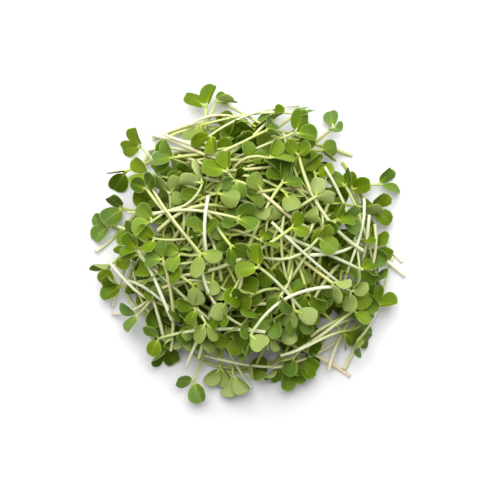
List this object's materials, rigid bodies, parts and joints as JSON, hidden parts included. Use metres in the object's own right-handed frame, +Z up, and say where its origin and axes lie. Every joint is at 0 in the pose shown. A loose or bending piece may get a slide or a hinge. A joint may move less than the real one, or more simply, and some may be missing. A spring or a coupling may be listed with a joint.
{
  "type": "heap of cut microgreens",
  "caption": "Loose round heap of cut radish-type microgreens: pale stems that cross at random, each ending in a pair of notched green seed leaves, lying on a flat surface.",
  "frame": {"origin": "on the surface that the heap lies on, under the middle of its outline", "axes": "+Z up; +Y towards the top edge of the picture, +X towards its right edge, seen from above"},
  "size_m": [0.1582, 0.1586, 0.0505],
  "materials": {
    "sprout": "fresh green seed leaves, satin, on pale green-white stems"
  },
  "bodies": {
    "root": {"sprouts_01": "sprout", "sprouts_02": "sprout", "sprouts_03": "sprout", "sprouts_04": "sprout", "sprouts_05": "sprout", "sprouts_06": "sprout", "sprouts_07": "sprout", "sprouts_08": "sprout", "sprouts_09": "sprout", "sprouts_10": "sprout", "sprouts_11": "sprout", "sprouts_12": "sprout", "sprouts_13": "sprout", "sprouts_14": "sprout", "sprouts_15": "sprout", "sprouts_16": "sprout", "sprouts_17": "sprout", "sprouts_18": "sprout", "sprouts_19": "sprout", "sprouts_20": "sprout", "sprouts_21": "sprout", "sprouts_22": "sprout", "sprouts_23": "sprout", "sprouts_24": "sprout", "sprouts_25": "sprout", "sprouts_26": "sprout", "sprouts_27": "sprout", "sprouts_28": "sprout", "sprouts_29": "sprout", "sprouts_30": "sprout", "sprouts_31": "sprout", "sprouts_32": "sprout", "sprouts_33": "sprout"}
  },
  "joints": []
}
